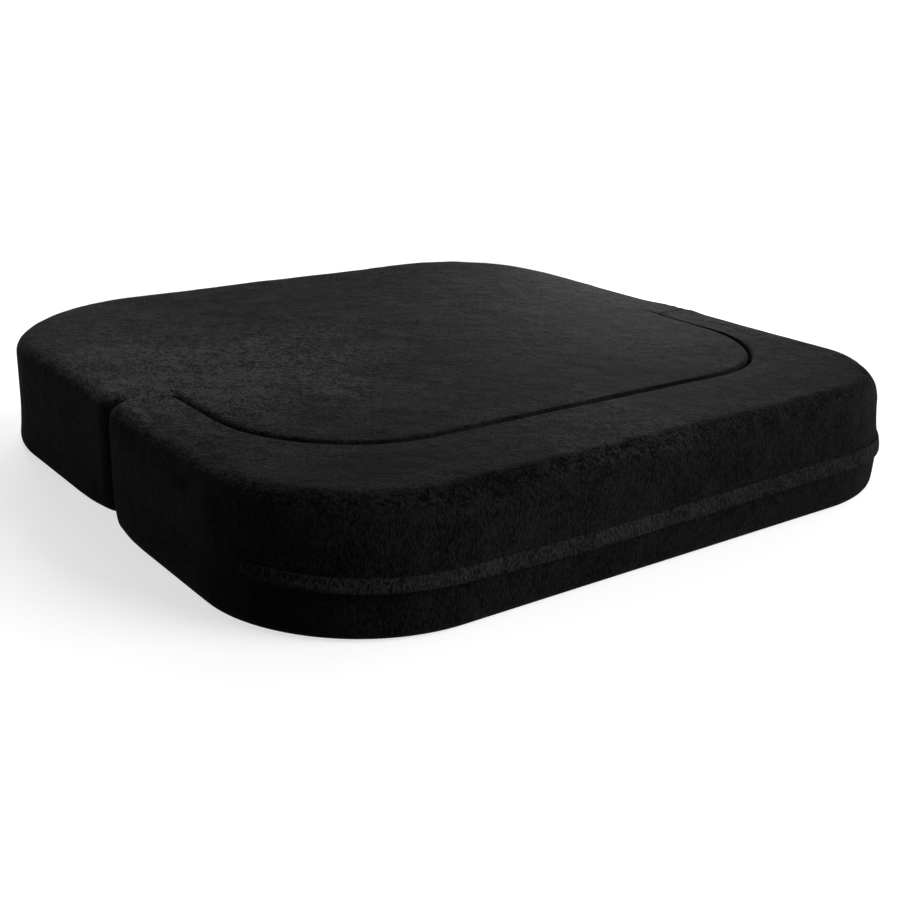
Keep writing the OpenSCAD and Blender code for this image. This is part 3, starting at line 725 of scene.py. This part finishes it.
def finish_of(name, roughness, specular=0.5, metallic=0, sheen=0, sheen_roughness=0.5):
    """A material, whose steady values are set on its shader, and its object coordinates and normal."""
    material = bpy.data.materials.new(name)
    material.use_nodes = True
    steady = {"Roughness": roughness, "Metallic": metallic, "Specular IOR Level": specular, "Sheen Weight": sheen,
              "Sheen Roughness": sheen_roughness, "Sheen Tint": (1, 1, 1, 1)}
    for label, value in steady.items():
        material.node_tree.nodes["Principled BSDF"].inputs[label].default_value = value
    here = material.node_tree.nodes.new("ShaderNodeTexCoord").outputs
    return material, Wire(here["Object"]), Wire(here["Normal"])


def finished(material, colour, height, roughness=None):
    """The shader's changing values: base colour, the height in metres that tilts the surface, and roughness."""
    bump = height.node("Bump", {"Height": height, "Strength": 1, "Distance": 1})
    shader = material.node_tree.nodes["Principled BSDF"]
    for label, wire in (("Base Color", colour), ("Normal", bump), ("Roughness", roughness)):
        if wire is not None:
            material.node_tree.links.new(wire.socket, shader.inputs[label])
    return material


def plush(name, level_painted, upright_painted):
    """Short black pile: nap patches, tufts on top, and tufts drawn downwards on upright faces. Level and upright faces
    get their own colours as painted light and shade, and level faces get pools of painted light and shade.
    """
    material, place, normal = finish_of(name, 0.9, 0.02, sheen=PLUSH_SHEEN, sheen_roughness=SHEEN_ROUGHNESS)
    patches, = place.through(PATCHES, Size=PATCH)
    tufts = place.vector("MULTIPLY", (1, 0.55, 1)).through(PILE, Size=TUFT, Clumping=0.14)
    strands = place.vector("MULTIPLY", (1, 1, 0.4)).through(PILE, Size=0.9 * TUFT, Clumping=0.05)
    # share is 1 on level faces and 0 on upright ones; it picks between the painted light and shade of top and sides
    flat = normal.part(2).math("ABSOLUTE").ranged(0.35, 0.75, 0, 1)
    share = flat.math("MINIMUM", place.part(2).ranged(PAINTED_TOP_LIGHT_FROM, PAINTED_TOP_LIGHT_FROM + 20 * MM, 0, 1))
    height, shade = (share.between(*pair) for pair in zip(strands, tufts))
    factor = (patches * 0.32 + shade * 0.68 - 0.5).math("MULTIPLY_ADD", share.ranged(0, 1, 0.95, 1.9), 0.5)
    # Pools of painted light and shade, on level faces only
    light_pools = place.through(PAINTED_LIGHT_GROUP)[0] * share
    factor = factor.math("MAXIMUM", 0) * light_pools.math("MULTIPLY_ADD", 0.33, 0.33)
    colour = factor.colour(*(share.colour(*pair) for pair in zip(upright_painted, level_painted)))
    return finished(material, colour, height * (2 * MM) + patches * (6 * MM))


def woven(name, dark, light, pitch):
    """Plain woven cloth with slightly uneven colour."""
    material, place, normal = finish_of(name, 0.85, 0.15, sheen=0.02)
    threads, = place.through(WEAVE, Normal=normal, Pitch=pitch)
    uneven, = place.through(WEAR, Size=20 * MM)
    return finished(material, (threads * 0.7 + uneven * 0.3).colour(dark, light), threads * (0.2 * pitch))


def dotted(name, dark, light, dot):
    """The floor cloth: woven, with raised rubber dots on a lattice."""
    material, place, normal = finish_of(name, 0.9, 0.08)
    threads, = place.through(WEAVE, Normal=normal, Pitch=1.6 * MM)
    x, y = ((place.part(axis) + DOT_PITCH / 2).math("PINGPONG", DOT_PITCH / 2) for axis in (0, 1))
    dots = (x * x + y * y).math("SQRT").ranged(1.9 * MM, 2.5 * MM, 1, 0)
    colour = dots.colour(threads.colour(dark, light), dot)
    return finished(material, colour, threads * (0.2 * MM) + dots * (0.7 * MM), dots.ranged(0, 1, 0.9, 0.7))


def foam(name, dark, light, cell):
    """Cut foam: small open cells, with painted shade darkening their hollows."""
    material, place, _ = finish_of(name, 0.9, 0.25)
    cells = place.cells(1 / cell)
    uneven, = place.through(PATCHES, Size=50 * MM)
    # Painted shade: the colour darkens where the cells' height drops
    return finished(material, (cells * 0.7 + uneven * 0.3).colour(light, dark), cells * (-0.4 * cell))


def scuffed(name, dark, light, size, depth, ends, *steady):
    """Nylon or plated metal with dust or scuffs, rougher where they are."""
    material, place, _ = finish_of(name, *steady)
    wear, = place.through(WEAR, Size=size)
    return finished(material, wear.colour(dark, light), wear * depth, wear.ranged(0, 1, *ends))


# The plush materials carry painted light and shade: colours by facing, pools on the top, shade on the ring's skirt and
# light on the placket
BLACK_PLUSH = plush("black_plush", PLUSH_LEVEL_PAINTED_LIGHT, PLUSH_UPRIGHT_PAINTED_LIGHT)
SKIRT_PLUSH_PAINTED_SHADE = plush("skirt_plush_painted_shade", PLUSH_LEVEL_PAINTED_LIGHT, PLUSH_LOW_PAINTED_SHADE)
PLACKET_PLUSH_PAINTED_LIGHT = plush("placket_plush_painted_light", PLUSH_LEVEL_PAINTED_LIGHT, PLUSH_BAND_PAINTED_LIGHT)
FLOOR_CLOTH = dotted("floor_cloth", (0.004, 0.004, 0.0043), (0.009, 0.009, 0.0094), (0.014, 0.014, 0.0145))
LINER_CLOTH = woven("liner_cloth", (0.60, 0.60, 0.58), (0.75, 0.75, 0.72), 0.9 * MM)
FOAMS = {"comfort": foam("comfort_foam", (0.66, 0.57, 0.30), (0.82, 0.74, 0.46), 1.1 * MM),
         "support": foam("support_foam", (0.50, 0.53, 0.56), (0.64, 0.67, 0.70), 1.6 * MM),
         "bottom": foam("bottom_foam", (0.40, 0.42, 0.46), (0.52, 0.55, 0.59), 1.9 * MM)}
ZIP_TAPE = woven("zip_tape", (0.003, 0.003, 0.0035), (0.010, 0.010, 0.011), 0.8 * MM)
ZIP_COIL = scuffed("zip_coil", (0.005, 0.005, 0.0055), (0.016, 0.016, 0.017), 6 * MM, 0.05 * MM, (0.32, 0.6),
                   0.4, 0.3)
ZIP_METAL = scuffed("zip_metal", (0.10, 0.10, 0.11), (0.30, 0.30, 0.32), 3 * MM, 0.02 * MM, (0.28, 0.5), 0.3, 0.5, 1)


def dressed(piece, material, slot, body, *nodes):
    """The piece gets its material and body, and stands for its nodes. The slot is not used."""
    piece.data.materials.clear()
    piece.data.materials.append(material)
    if body:
        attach(piece, body)
    if nodes:
        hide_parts(*nodes)


# ---------- plush covers and what they hold ----------
def add_block(body, line, zip_z, zip_half, crown, sewn):
    """Top cover and skirt of one block."""
    points, top, skirt = cushion(body, line, zip_z, zip_half, crown, sewn)
    # The ring's skirt takes the plush with painted shade under the placket
    low = BLACK_PLUSH if sewn is None else SKIRT_PLUSH_PAINTED_SHADE
    for kind, faces, node, material in (("plush_top", top, "top_cover", BLACK_PLUSH),
                                        ("plush_skirt", skirt, "lower_cover", low)):
        piece = softened(thickened(make_mesh(f"{body}_{kind}", *picked(points, faces)), PLUSH_T))
        dressed(piece, material, "plush", body, f"{body}_{node}")


def add_inside(body, line):
    """Liner, three layers of foam and the floor cloth of one block."""
    at = lambda z, depth=0: level(line, FOAM_IN + depth, z)
    low, high = ([at(z - FOAM_EDGE), at(z, FOAM_EDGE), at(z + FOAM_EDGE)] for z in (BOTTOM_FOAM_Z, COMFORT_Z))
    for kind, rings in (("comfort", high[1:] + edge_rings(line, FOAM_IN, 6)), ("support", low[1:] + high[:2]),
                        ("bottom", foot_rings(line, FOAM_IN, 3) + low[:2])):
        piece = make_mesh(f"{body}_{kind}_layer", *filled_stack(rings), smooth=False)
        dressed(piece, FOAMS[kind], f"{kind}_foam", body, f"{body}_{kind}_foam")

    foot = HEM_Z + FOOT_R
    rings = [level(line, LINER_IN, foot), level(line, LINER_IN, (foot + TOP_Z - line[:, 3]) / 2)]
    points, (sides, top, _) = filled_stack(rings + edge_rings(line, LINER_IN, 6))
    liner = thickened(make_mesh(f"{body}_liner_bag", *picked(points, [sides, top])), 1 * MM)
    dressed(liner, LINER_CLOTH, "liner_cloth", body, f"{body}_liner")
    low, high = line[:, :2].min(0), line[:, :2].max(0)
    skin_area(points, [sides, top])

    rim = level(line, FOOT_R + 0.3 * MM, PANEL_Z)
    lattice, faces = filled(rim[:, :2], 2 * STEP)
    points = np.vstack([rim, raised(lattice, PANEL_Z)])
    cloth = thickened(make_mesh(f"{body}_underside", points, [faces[:, ::-1]]), PANEL_T - PANEL_Z)
    dressed(cloth, FLOOR_CLOTH, "floor_cloth", body, f"{body}_floor_cloth")
    low, high = rim[:, :2].min(0), rim[:, :2].max(0)
    skin_area(points, [faces])


def add_web(side, name, node):
    """The plush that runs on from the slab to an arm's end, with a slight valley along the fold: z = top - valley
    exp(-(v / width)^2). Its inner end is rolled down over the seam. Its outer end goes down as the side's edge does,
    5 mm outside the rounded corners beside the notch, and closes the notch's top."""
    across = np.linspace(0, 1, 15)
    v = np.sign(across - 0.5) * abs(2 * across - 1) ** 1.3 * WEB_HALF
    width, height, _ = NOTCH if side > 0 else OPEN
    t, vv = np.meshgrid(np.linspace(0, 1, 26), v, indexing="ij")
    bridge = np.exp(-(vv / (11 * MM)) ** 2)
    first, end = INNER_X - 12 * MM, SLAB_W / 2 - (14 if side > 0 else 26) * MM
    off_corner = np.maximum(NOTCH_R - abs(vv), 0)
    last = np.minimum(end, SLAB_W / 2 - NOTCH_R + np.sqrt(NOTCH_R ** 2 - off_corner ** 2) + 5 * MM)
    xx = first + t * (last - first)
    out = np.clip((xx - SLAB_W / 2 + width) / width, 0, 1)
    rolled = height * (1 - np.sqrt(1 - out ** 2)) + 7 * MM * (1 - bridge) * smoothstep((xx - last + 8 * MM) / (9 * MM))
    rolled *= 1 - 0.6 * bridge
    rolled += smoothstep((INNER_X + 1 * MM - xx) / (14 * MM)) * 5 * MM
    valley = 0.7 * MM * np.exp(-(vv / (5 * MM)) ** 2)
    zz = TOP_Z + 0.2 * MM - 1.5 * MM * (vv / WEB_HALF) ** 4 - valley - rolled
    points = np.stack([side * xx, FOLD_Y + vv, zz], -1).reshape(-1, 3)
    i, j = np.meshgrid(np.arange(25), np.arange(len(v) - 1), indexing="ij")
    k = i * len(v) + j
    quads = np.stack([k, k + len(v), k + len(v) + 1, k + 1], -1).reshape(-1, 4)
    quads = quads if side > 0 else quads[:, ::-1]
    web = softened(thickened(make_mesh(name, points, [quads]), 2.6 * MM))
    dressed(web, BLACK_PLUSH, "plush", None, node)
    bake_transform(web)


# ---------- zips ----------
def blunted(a, b, c, d, r):
    """A rectangle of (out, z), a to b and c to d, with its corners cut back twice."""
    s = 0.3 * r
    return np.array([(a + r, c), (b - r, c), (b - s, c + s), (b, c + r), (b, d - r), (b - s, d - s), (b - r, d),
                     (a + r, d), (a + s, d - s), (a, d - r), (a, c + r), (a + s, c + s)])


def teeth_on(line, half, zip_z, middle, bead):
    """A bead of four rings for every tooth: (x, y) + tangent times shift + normal times out."""
    teeth = stations(line, -half + TOOTH_PITCH, half - TOOTH_PITCH, TOOTH_PITCH, zip_z)
    shift = np.array([-0.8, -0.5, 0.5, 0.8]) * MM
    size = np.array([0.65, 1, 1, 0.65])
    along = np.stack([-teeth[:, 3], teeth[:, 2]], 1)
    base = teeth[:, None, None, :2] + along[:, None, None] * shift[None, :, None, None]
    points = beside(base, teeth[:, None, None, 2:4], middle + bead[None] * size[:, None, None])
    first = np.arange(len(teeth))[:, None, None] * len(shift) * len(bead)
    return points, [(part + first).reshape(-1, part.shape[1]) for part in tube(len(shift), len(bead))]


def add_zip(body, line, zip_z, half):
    """Two tapes, two rows of coil and the end stops. A row is a cord with a tooth every 2.4 mm."""
    places = stations(line, -half, half, 6 * MM, zip_z)
    for way, kind in ((1, "upper"), (-1, "lower")):
        ends = sorted([zip_z + way * (ROW_GAP / 2 + COIL_W / 4), zip_z + way * (SLOT_HALF - 0.3 * MM)])
        tape = carried(places, blunted(-TAPE_IN - TAPE_T, -TAPE_IN, *ends, 0.2 * MM))
        dressed(make_mesh(f"{body}_zip_{kind}_ribbon", *tape), ZIP_TAPE, "zip_tape", body, f"{body}_zip_{kind}_tape")

        bead = arc(COIL_T / 2, COIL_W / 2, np.radians(45 * np.arange(8) + 22.5))
        middle = np.array([COIL_OUT - COIL_T / 2, zip_z + way * (ROW_GAP + COIL_W) / 2])
        row = joined([teeth_on(line, half, zip_z, middle, bead), carried(places, middle + bead * 0.55)])
        dressed(make_mesh(f"{body}_zip_{kind}_teeth", *row), ZIP_COIL, "zip_coil", body, f"{body}_zip_{kind}_coil")

    back, front, half_z, leg = COIL_OUT - COIL_T, PLATE_OUT, ROW_GAP / 2 + COIL_W + 0.3 * MM, 0.6 * MM
    over, round_it = front + 0.4 * MM, front + 0.8 * MM
    clamp = np.array([(back, -half_z - leg), (back, -half_z), (front, -half_z), (front, half_z), (back, half_z),
                      (back, half_z + leg), (over, half_z + leg), (round_it, half_z), (round_it, -half_z),
                      (over, -half_z - leg)]) + (0, zip_z)
    parts = [carried(stations(line, low, low + 5 * MM, 2.5 * MM, zip_z), clamp)
             for low in (-half + 3 * MM, half - 8 * MM)]
    stops = bevelled(make_mesh(f"{body}_zip_end_clamps", *joined(parts), smooth=False), 0.15 * MM)
    dressed(stops, ZIP_METAL, "zip_metal", body, f"{body}_zip_stops")


def shield(length, width):
    """A slider plate's outline: (L/2 |cos|^0.6, W/2 |sin|^0.6), narrower towards its tail."""
    t = full_turn(32)
    u, w = (np.sign(s) * abs(s) ** 0.6 for s in (np.cos(t), np.sin(t)))
    return np.stack([length / 2 * u, width / 2 * w * (0.9 - 0.1 * np.cos(t))], 1)


def set_at(points, origin, facing):
    """(along, across, out) becomes (x, y, z) about the origin, out along +Y where facing is 1 and -Y where -1."""
    return origin + points[:, [0, 2, 1]] * (facing, facing, 1)


def slider_parts():
    """Two plates, the wedge between them, the side walls and their gap for the tapes: (along, across, out)."""
    plate = shield(12 * MM, 9.2 * MM)
    wedge = shield(4.4 * MM, 1.1 * MM) - (3.8 * MM, 0)
    wall = np.array([(-5.4, 3.8), (4.6, 3.4), (5.2, 4.0), (4.4, 4.3), (-5.0, 4.6)]) * MM
    overlap = 0.1 * MM
    return [prism(plate, PLATE_OUT, PLATE_OUT + PLATE_T), prism(plate, -PLATE_IN - PLATE_T, -PLATE_IN),
            prism(wedge, -PLATE_IN - overlap, PLATE_OUT + overlap),
            *(prism(wall * (1, way), 0.2 * MM, PLATE_OUT + overlap) for way in (-1, 1))]


def add_metal(name, form, at, facing, width, body, *nodes):
    """A piece of zip metal with its edges rounded."""
    points = set_at(form[0], at, facing)
    piece = bevelled(make_mesh(name, points, facing_out(points, form[1]), smooth=False), width)
    dressed(piece, ZIP_METAL, "zip_metal", body, *nodes)


def add_sliders():
    """The seat's slider with its bail and pull, and the ring's slider without a pull."""
    seat_at = (SLAB_W / 2 - REAR_R - SLIDER_IN, REAR_Y, SEAT_ZIP_Z)
    ring_at = (-(RING_W / 2 - FRONT_R - SLIDER_IN), FRONT_Y, RING_ZIP_Z)
    t = np.linspace(0, np.pi, 15)
    arch = np.vstack([np.stack([reach * np.cos(t), 2.6 * MM + rise * np.sin(t) ** 0.6], 1)[::way]
                      for reach, rise, way in ((3.0 * MM, 2.6 * MM, 1), (2.2 * MM, 1.8 * MM, -1))])
    bail, bail_faces = prism(arch, -1 * MM, 1 * MM)
    with_bail = joined([*slider_parts(), (bail[:, [0, 2, 1]], bail_faces)])
    add_metal("seat_zip_slider_body", with_bail, seat_at, 1, 0.2 * MM, "seat_zip_slider", "seat_zip_slider")
    bare = joined(slider_parts())
    add_metal("ring_zip_slider_body", bare, ring_at, -1, 0.2 * MM, "ring_zip_slider", "ring_zip_slider")

    # The pull's tab, from its round tip with a hole to the two hooks on the pin
    tip = arc(-4.5 * MM, 4.5 * MM, np.linspace(np.pi / 2, -np.pi / 2, 13)) + (-29.5 * MM, 0)
    side = np.array([(-22, -3.4), (-14, -3.4), (-8, -4.5), (0, -4.5), (0.5, -4.2), (0.5, -3.5), (0, -3.3),
                     (-7.4, -3.3), (-8.2, -2.6)]) * MM
    outer = np.vstack([tip, side, side[::-1] * (1, -1)])
    hole = arc(1.8 * MM, 1.8 * MM, full_turn(20)) + (-30 * MM, 0)
    n = len(outer)
    edges = [(k, (k + 1) % n) for k in range(n)] + [(n + k, n + (k + 1) % 20) for k in range(20)]
    flat, _, triangles, *_ = delaunay_2d_cdt((np.vstack([outer, hole]) / MM).tolist(), edges, [], 0, 1e-6)
    flat, triangles = np.array([tuple(p) for p in flat]) * MM, np.array(triangles)
    centre = flat[triangles].mean(1)
    triangles = triangles[inside(centre, outer) & ~inside(centre, hole)]
    tab = make_mesh("seat_zip_pull_tab", set_at(raised(flat, PIN_OUT), seat_at, 1), [triangles], smooth=False)
    bevelled(thickened(tab, 1 * MM, offset=0), 0.2 * MM)
    dressed(tab, ZIP_METAL, "zip_metal", "seat_zip_pull", "seat_zip_pull")
    pin, pin_faces = prism(arc(0.6 * MM, 0.6 * MM, full_turn(16)) + (0, PIN_OUT), -3.6 * MM, 3.6 * MM)
    add_metal("seat_zip_pull_pin", (pin[:, [0, 2, 1]], pin_faces), seat_at, 1, 0.15 * MM, "seat_zip_pull")


# ---------- placket ----------
def placket_edges(way):
    """Heights of the placket's top and foot at each way, the mean of five places up to 8 cm away."""
    at, high, low = np.transpose(PLACKET_EDGES)
    near = way[:, None] + np.linspace(-80, 80, 5) * MM
    return np.interp(near, at, high).mean(1) * MM, np.interp(near, at, low).mean(1) * MM


def add_placket(line):
    """The doubled strip of plush over the ring's zip. It is sewn on along its top and hangs free below, where it
    stands off by up to 8.5 mm, and by less at its ends and round the right corner."""
    places = stations(line, -PLACKET_HALF, PLACKET_HALF, 9 * MM, SEWN_Z)
    way = places[:, 4]
    lay = np.column_stack([way, np.zeros((len(way), 2))])
    top, foot = placket_edges(way)
    edge = {"top": top, "foot": foot + 0.8 * MM * waves(lay, 0.2, 22)}
    end = smoothstep((PLACKET_HALF - abs(way)) / (60 * MM)) * (1 - 0.45 * smoothstep((way - 0.62) / 0.15))
    stand = 0.9 * MM + (7.6 * MM + 1.2 * MM * waves(lay, 0.3, 24)) * end
    profile = np.stack([np.stack([out * MM + thick * PLACKET_T + share * stand, edge[side] + up * MM], 1)
                        for out, thick, share, side, up in PLACKET_SECTION], 1)
    placket = softened(make_mesh("ring_placket_flap", *carried(places, profile)))
    # The flap's plush is lighter: partly its pile's other direction, partly painted light on the band
    dressed(placket, PLACKET_PLUSH_PAINTED_LIGHT, "plush", "ring", "ring_placket")


# ---------- floor and light ----------
def shown(owner, end, labels, seen, unseen):
    """The owner's shader: seen for the rays with these labels, and unseen for the others."""
    tree = owner.node_tree
    rays = tree.nodes.new("ShaderNodeLightPath").outputs
    first, *others = (Wire(rays[label]) for label in labels)
    share = sum(others, first).math("MINIMUM", 1)
    mixed = share.node("MixShader", {0: share, 1: unseen, 2: seen})
    tree.links.new(mixed.socket, tree.nodes.new(end).inputs["Surface"])


def shaders_of(owner):
    """A function that makes shaders in the owner's emptied node tree."""
    owner.use_nodes = True
    owner.node_tree.nodes.clear()
    return lambda kind, **inputs: Wire(placed(owner.node_tree, kind, inputs).outputs[0])


def add_floor():
    """A pale floor, white to the camera but for the object's shadow."""
    far = FLOOR_HALF
    floor = make_mesh("floor", [(-far, -far, -0.001), (far, -far, -0.001), (far, far, -0.001), (-far, far, -0.001)],
                      [np.array([[0, 1, 2, 3]])], smooth=False)
    material = bpy.data.materials.new("pale_floor")
    shader = shaders_of(material)
    bounce, shade = (shader("BsdfDiffuse", Color=(grey, grey, grey, 1)) for grey in (FLOOR_BOUNCE, FLOOR_SHADE))
    glow = shader("Emission", Color=(1, 1, 1, 1), Strength=FLOOR_GLOW)
    seen = glow.node("AddShader", {0: shade, 1: glow})
    shown(material, "ShaderNodeOutputMaterial", ["Is Camera Ray", "Is Glossy Ray", "Is Transmission Ray"], seen, bounce)
    floor.data.materials.append(material)


def add_lamp(name, data, back, place):
    """A lamp at the place that shines away from back."""
    back = np.asarray(back) / np.linalg.norm(back)
    side = np.cross((0, 0, 1), back)
    side = side / np.linalg.norm(side)
    linked(name, data).matrix_world = turned(side, np.cross(back, side), back, place)


def add_light():
    """Four wide soft suns, two panels, and an even weak sky that the camera sees white."""
    for name, strength, width, azimuth, elevation in SUNS:
        data = bpy.data.lights.new(name, "SUN")
        data.energy, data.angle = strength, np.radians(width)
        a, e = np.radians([azimuth, elevation])
        add_lamp(name, data, (np.cos(e) * np.cos(a), np.cos(e) * np.sin(a), np.sin(e)), (0, 0, 0))
    for name, watts, size, place, aim in PANELS:
        data = bpy.data.lights.new(name, "AREA")
        data.energy, data.size = watts, size
        add_lamp(name, data, np.subtract(place, aim), place)
    world = bpy.data.worlds.new("sky")
    shader = shaders_of(world)
    soft, white = (shader("Background", Color=(1, 1, 1, 1), Strength=strength) for strength in (SKY, 1))
    shown(world, "ShaderNodeOutputWorld", ["Is Camera Ray", "Is Transmission Ray"], white, soft)
    bpy.context.scene.world = world


add_camera()
SEAT_PLAN = (1, SLAB_W / 2, TONGUE_X, TONGUE_Y, TONGUE_R, NOOK_R, SIDE_SEAM, REAR_Y, REAR_R)
RING_PLAN = (-1, RING_W / 2, INNER_X, INNER_Y, INNER_R, ARM_END_R, ARM_SEAM, FRONT_Y, FRONT_R)
SEAT_LINE, RING_LINE = (tightened(block_outline(*plan)) for plan in (SEAT_PLAN, RING_PLAN))
for body, line, plan, zip_z, zip_half, crown, sewn in (
        ("seat", SEAT_LINE, SEAT_PLAN, SEAT_ZIP_Z, SEAT_ZIP_HALF, CROWN, None),
        ("ring", RING_LINE, RING_PLAN, RING_ZIP_Z, RING_ZIP_HALF, 0, placket_edges(RING_LINE[:, 7])[0])):
    add_block(body, line, zip_z, zip_half, crown, sewn)
    add_inside(body, block_outline(*plan))
    add_zip(body, line, zip_z, zip_half)
add_web(-1, "left_fold_web", "left_fold_strip")
add_web(1, "right_fold_web", "right_fold_strip")
add_sliders()
add_placket(RING_LINE)
add_floor()
add_light()

scene = bpy.context.scene
scene.view_settings.view_transform = "Standard"
